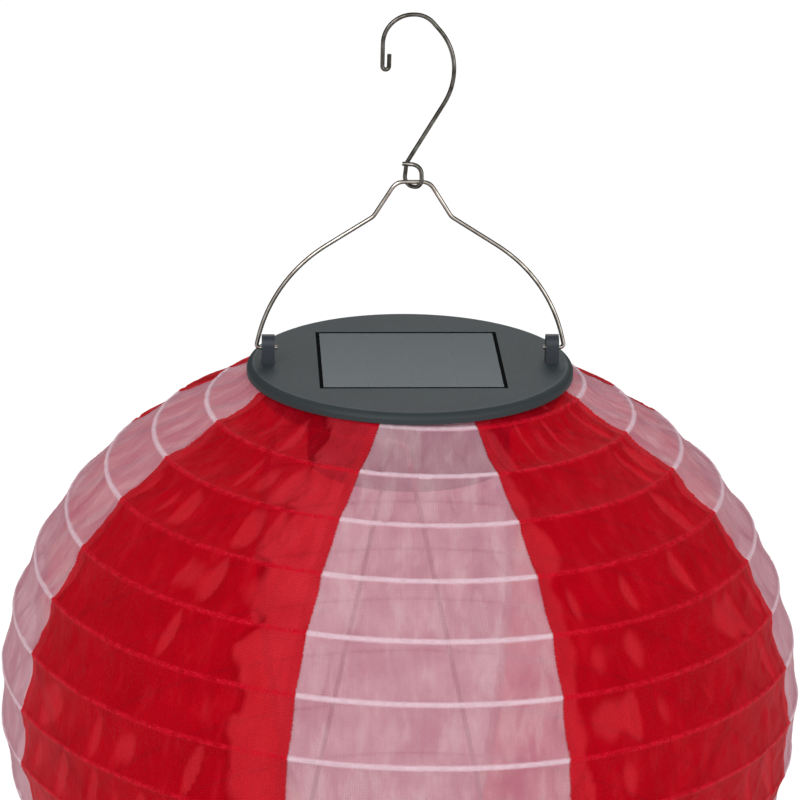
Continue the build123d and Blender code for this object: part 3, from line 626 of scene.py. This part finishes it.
# Zinc plating is paler and duller than drawn wire: the eye sees a blurred, even grey shine.
zinc = drawn_steel("zinc_plated_steel", "#c9c9c6", "#a3a39e", 0.3)
for name in ("housing_screws", "door_screw", "board_screws"):
    finish_node(name, zinc)


# Battery and contacts: a rechargeable cell in a shrunk-on green sleeve, held end to end between a
# coiled spring and a plate of plated steel.
# A shrink sleeve is thin and tight: the eye sees clean colour under a narrow, glossy highlight.
finish_node("battery", plain_plastic("green_shrink_sleeve", "#2f7a52", 0.0009, 0.00001, 0.3))
finish_node("contact_spring", zinc)
finish_node("contact_plate", zinc)


# Board, lamp and switch: a glass-fibre board is screwed up on posts, the LED under it shines down
# through a frosted lens in the housing's floor, and a slide switch stands beside it.
def clear_resin(name, colour, roughness, through):
    """Cast or moulded clear resin, smooth or frosted by its roughness.

    The eye sees what is behind it bent, under a small highlight that ripples of 8 mm disturb. A
    frosted resin blurs both.
    """
    material, tree = blank(name)
    place = add(tree, "TexCoord").outputs["Object"]
    ripple = add(tree, "TexNoise", {"Vector": place, "Scale": 1 / 0.00833, "Detail": 3.0})
    bump = add(tree, "Bump", {"Height": ripple, "Distance": 0.00004, "Strength": 0.3})
    rough = add(tree, "MapRange", {0: ripple, 1: 0.3, 2: 0.7, 3: roughness * 0.8, 4: roughness * 1.2})
    shader = add(tree, "BsdfPrincipled", {
        "Base Color": linear(colour), "Roughness": rough, "IOR": 1.5, "Transmission Weight": through,
        "Normal": bump,
    })
    add(tree, "OutputMaterial", {0: shader})
    return material


# Green solder lacquer over glass fibre: a smooth, half-glossy dark green.
laminate = plain_plastic("green_laminate", "#1f5a3a", 0.0004, 0.00001, 0.35)
finish_node("circuit_board", laminate)
finish_node("led", clear_resin("clear_epoxy", "#f2eedc", 0.08, 0.8))
finish_node("led_lens", clear_resin("frosted_polystyrene", "#eef0ef", 0.45, 0.7))
# Polished black ABS is nearly black, with one clear highlight.
gloss_black = plain_plastic("black_abs_gloss", "#101113", 0.0005, 0.00001, 0.25)
finish_node("switch_body", gloss_black)
finish_node("switch_knob", gloss_black)


# Leads: two short wires in PVC sleeves, red and black, soldered from the solar panel's backing down
# through the lid to the board.
finish_node("lead_red", plain_plastic("red_pvc", "#b01414", 0.0005, 0.00001, 0.35))
finish_node("lead_black", gloss_black)


# Lid: one moulding in charcoal ABS, a disc with a skirt, a spigot for the collar and a well for the
# panel. Its top is flat to FLAT_R and then rolls over into the skirt.
FLAT_R = 0.0586
EDGE_W = 0.0007
SKIRT_EASE = 0.0005


def rim_highlight_and_shade(tree):
    """1 on the flat, rising to 1.6 for a painted highlight on the rim's edge, and 0.54 of that beyond for
    painted shade on the skirt.
    """
    spot = add(tree, "SeparateXYZ", {0: add(tree, "TexCoord").outputs["Object"]}).outputs
    squares = [add(tree, "Math", {0: spot[k], 1: 2.0}, operation="POWER") for k in (0, 1)]
    summed = add(tree, "Math", {0: squares[0], 1: squares[1]}, operation="ADD")
    reach = add(tree, "Math", {0: summed, 1: 0.5}, operation="POWER")
    edge = add(tree, "MapRange", {0: reach, 1: FLAT_R - EDGE_W, 2: FLAT_R, 3: 1.0, 4: 1.6})
    skirt_shade = add(tree, "MapRange", {0: reach, 1: FLAT_R, 2: FLAT_R + SKIRT_EASE, 3: 1.0, 4: 0.54})
    return add(tree, "Math", {0: edge, 1: skirt_shade}, operation="MULTIPLY")


# Grained charcoal ABS is almost matt, so the eye reads its shape from a painted highlight along the rim's
# edge and painted shade on the skirt below it.
lid_abs = plain_plastic(
    "charcoal_abs_grained", "#343d40", 0.0006, 0.00005, 0.55, shine=0.3, tone_by=rim_highlight_and_shade
)
finish_node("lid", lid_abs)


# Ears: two blocks with rounded tops, moulded apart in a bluer black ABS and bonded into the lid.
# Each is bored for one end of the bail. Their finer grain leaves a tighter highlight than the lid's.
ear_abs = plain_plastic("blue_black_abs", "#33383f", 0.0005, 0.00003, 0.42)
finish_node("ear_left", ear_abs)
finish_node("ear_right", ear_abs)


# Solar panel: four silicon cells on a laminate board, stuck on a foam pad in the lid's well, under a cast
# resin cover that lies flush with the lid. A dead black strip round the cover is painted shadow in the
# joint between cover and lid.
LINE_PITCH = 0.0016
LINE_SHARE = 0.09
GAP_SHADOW_LOOPS = ((0.0003, 0.00001), (-0.0004, 0.00003), (-0.0011, 0.00001))

finish_node("panel_backing", laminate)
# Closed-cell foam is chalky: an off-white with no highlight.
finish_node("panel_pad", plain_plastic("white_foam_pad", "#d9d8d0", 0.0004, 0.0001, 0.85))


def silicon_cells(name):
    """Amorphous silicon on glass, printed with silver contact lines LINE_PITCH apart.

    The eye sees a blue-grey that clouds every 17 mm, with faint pale lines across it.
    """
    material, tree = blank(name)
    place = add(tree, "TexCoord").outputs["Object"]
    cloud = add(tree, "TexNoise", {"Vector": place, "Scale": 1 / 0.01667, "Detail": 3.0})
    colour = add(tree, "Mix", {0: cloud, 6: linear("#5d6369"), 7: linear("#6e747b")}, data_type="RGBA")
    across = add(tree, "SeparateXYZ", {0: place}).outputs[1]
    run = add(tree, "Math", {0: across, 1: 1 / LINE_PITCH}, operation="MULTIPLY")
    part = add(tree, "Math", {0: run}, operation="FRACT")
    line = add(tree, "Math", {0: part, 1: LINE_SHARE}, operation="LESS_THAN")
    faint = add(tree, "Math", {0: line, 1: 0.18}, operation="MULTIPLY")
    lined = {0: faint, 6: colour.outputs[2], 7: linear("#a4a8ac")}
    colour = add(tree, "Mix", lined, data_type="RGBA").outputs[2]
    shader = add(tree, "BsdfPrincipled", {"Base Color": colour, "Roughness": 0.35, "IOR": 1.6})
    add(tree, "OutputMaterial", {0: shader})
    return material


def cast_cover(name):
    """Resin poured over the cells and cured, with a skin that ripples every 25 mm.

    The eye sees it as smoky, so the cells only just show, under a soft mirror of the sky.
    """
    material, tree = blank(name)
    place = add(tree, "TexCoord").outputs["Object"]
    ripple = add(tree, "TexNoise", {"Vector": place, "Scale": 1 / 0.025, "Detail": 2.0})
    bump = add(tree, "Bump", {"Height": ripple, "Distance": 0.00003, "Strength": 0.25})
    shader = add(tree, "BsdfPrincipled", {
        "Base Color": linear("#485358"), "Roughness": 0.22, "IOR": 1.5, "Specular IOR Level": 0.3,
        "Alpha": 0.9, "Normal": bump,
    })
    add(tree, "OutputMaterial", {0: shader})
    return material


finish_node("solar_cells", silicon_cells("silicon_cells"))
finish_node("panel_cover", cast_cover("cast_panel_resin"))
# Painted shadow: a dead black, matt strip that the eye sees as a dark line round the cover.
gap_shadow_black = plain_plastic("painted_gap_shadow", "#08090a", 0.0006, 0.00004, 0.8, shine=0.02)
cover_low, cover_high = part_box("panel_cover")
half_cover = np.array([cover_high[0] - cover_low[0], cover_high[1] - cover_low[1]]) / 2
cover_at = np.array([cover_high[0] + cover_low[0], cover_high[1] + cover_low[1]]) / 2
corner = np.array([[-1, -1], [1, -1], [1, 1], [-1, 1]])
# The painted shadow strip is three square loops round the cover, each at a step inwards and a rise above
# the lid.
gap_shadow_grid = np.stack(
    [np.c_[cover_at + corner * (half_cover - step), np.full(4, lid_top + rise)]
     for step, rise in GAP_SHADOW_LOOPS]
)
gap_shadow_strip = surface("panel_gap_shadow_strip", gap_shadow_grid[::-1], gap_shadow_black, close_u=True)
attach(gap_shadow_strip, "lamp_head")


# Bail and hook: 1.6 mm spring steel, bent cold. The bail's ends turn into the ears, and the hook's
# closed eye hangs on the bail's crest.
finish_node("bail", bright_steel)
# The hook's wire is a darker grey, painted to stand for the dark surroundings it mirrors: the same soft
# mirror, with brown-black clouds in it.
finish_node("hook", drawn_steel("dark_reflection_steel_wire", "#8d8a83", "#46413a", 0.14))


# Studio: a pale floor far under the lantern and a white surround. Neither is part of the lantern,
# and mirrors see the front of the surround bright and its rear dark.
FLOOR_DROP = 1.2
FLOOR_HALF = 12
FLOOR_GLOW = 1.12


def floor_paint(name):
    """Matt white paint on a floor that is see-through from below.

    It glows to the camera, so the eye sees plain white wherever no shadow falls.
    """
    material, tree = blank(name)
    path = add(tree, "LightPath").outputs
    matte = add(tree, "BsdfDiffuse", {0: linear("#e8e8e8")})
    shine = add(tree, "Emission", {0: (1, 1, 1, 1), 1: FLOOR_GLOW})
    seen = add(tree, "Math", {0: path["Is Camera Ray"], 1: 0.85}, operation="MULTIPLY")
    above = add(tree, "MixShader", {0: seen, 1: matte, 2: shine})
    under = add(tree, "NewGeometry").outputs["Backfacing"]
    painted = add(tree, "MixShader", {0: under, 1: above, 2: add(tree, "BsdfTransparent")})
    add(tree, "OutputMaterial", {0: painted})
    return material


side = np.linspace(-FLOOR_HALF, FLOOR_HALF, 3)
floor_x, floor_y = np.meshgrid(side, side)
floor_z = np.full_like(floor_x, cad_box[0][2] - FLOOR_DROP)
floor = surface("floor", np.stack([floor_x, floor_y, floor_z], axis=-1), floor_paint("pale_floor"))

world = bpy.data.worlds.new("soft_studio")
bpy.context.scene.world = world
world.use_nodes = True
sky = world.node_tree
sky.nodes.clear()
path = add(sky, "LightPath").outputs
toward = add(sky, "SeparateXYZ", {0: add(sky, "TexCoord").outputs["Generated"]}).outputs[1]
front = add(sky, "MapRange", {0: toward, 1: -0.85, 2: -0.25, 3: 1.0, 4: 0.10},
            interpolation_type="SMOOTHSTEP")
mirrored = add(sky, "Math", {0: path["Is Glossy Ray"], 1: front}, operation="MULTIPLY")
diffuse = add(sky, "Math", {0: path["Is Diffuse Ray"], 1: 0.68}, operation="MULTIPLY")
lit = add(sky, "Math", {0: mirrored, 1: diffuse}, operation="ADD")
strength = add(sky, "Math", {0: lit, 1: path["Is Camera Ray"]}, operation="MAXIMUM")
add(sky, "OutputWorld", {0: add(sky, "Background", {0: (1, 1, 1, 1), 1: strength})})


# Lamps: three square soft boxes, about the shade's middle. Each has a place, a side in metres and
# a power in watts.
LAMPS = {
    "key_softbox": ((-0.9, -1.6, 1.1), 1.1, 14.0),
    "fill_softbox": ((1.4, -1.3, 0.4), 1.2, 8.0),
    "rear_softbox": ((0.2, 1.5, 1.2), 1.0, 6.0),
}
centre = Vector((0, 0, SHADE_TOP - SHADE_H / 2))
for name, (place, size, power) in LAMPS.items():
    lamp = bpy.data.lights.new(name, "AREA")
    lamp.shape = "SQUARE"
    lamp.size = size
    lamp.energy = power
    stand = bpy.data.objects.new(name, lamp)
    stand.location = centre + Vector(place)
    stand.rotation_euler = (centre - stand.location).to_track_quat("-Z", "Y").to_euler()
    bpy.context.scene.collection.objects.link(stand)


# Camera: a long lens in front of the lid, 18 degrees above it and 3 degrees to its left, level but
# for a roll of 0.9 degrees. Its frame is shifted down and to the left of the line of sight.
DISTANCE = 1.420
ELEVATION = radians(18.23)
SWING = radians(3.07)
ROLL = 0.0157
LENS = 171.1
SENSOR = 36.0
SHIFT = (-0.0126, -0.0484)

back = Vector((-sin(SWING) * cos(ELEVATION), -cos(SWING) * cos(ELEVATION), sin(ELEVATION)))
camera = bpy.data.objects.new("camera", bpy.data.cameras.new("camera"))
camera.data.sensor_width = SENSOR
camera.data.lens = LENS
camera.data.shift_x, camera.data.shift_y = SHIFT
camera.data.clip_start = 0.05
camera.location = Vector((0, 0, lid_top)) + back * DISTANCE
camera.rotation_mode = "QUATERNION"
turn_about_view = Matrix.Rotation(ROLL, 4, "Z").to_quaternion()
camera.rotation_quaternion = (-back).to_track_quat("-Z", "Y") @ turn_about_view
bpy.context.scene.collection.objects.link(camera)
bpy.context.scene.camera = camera
bpy.context.scene.view_settings.view_transform = "Standard"
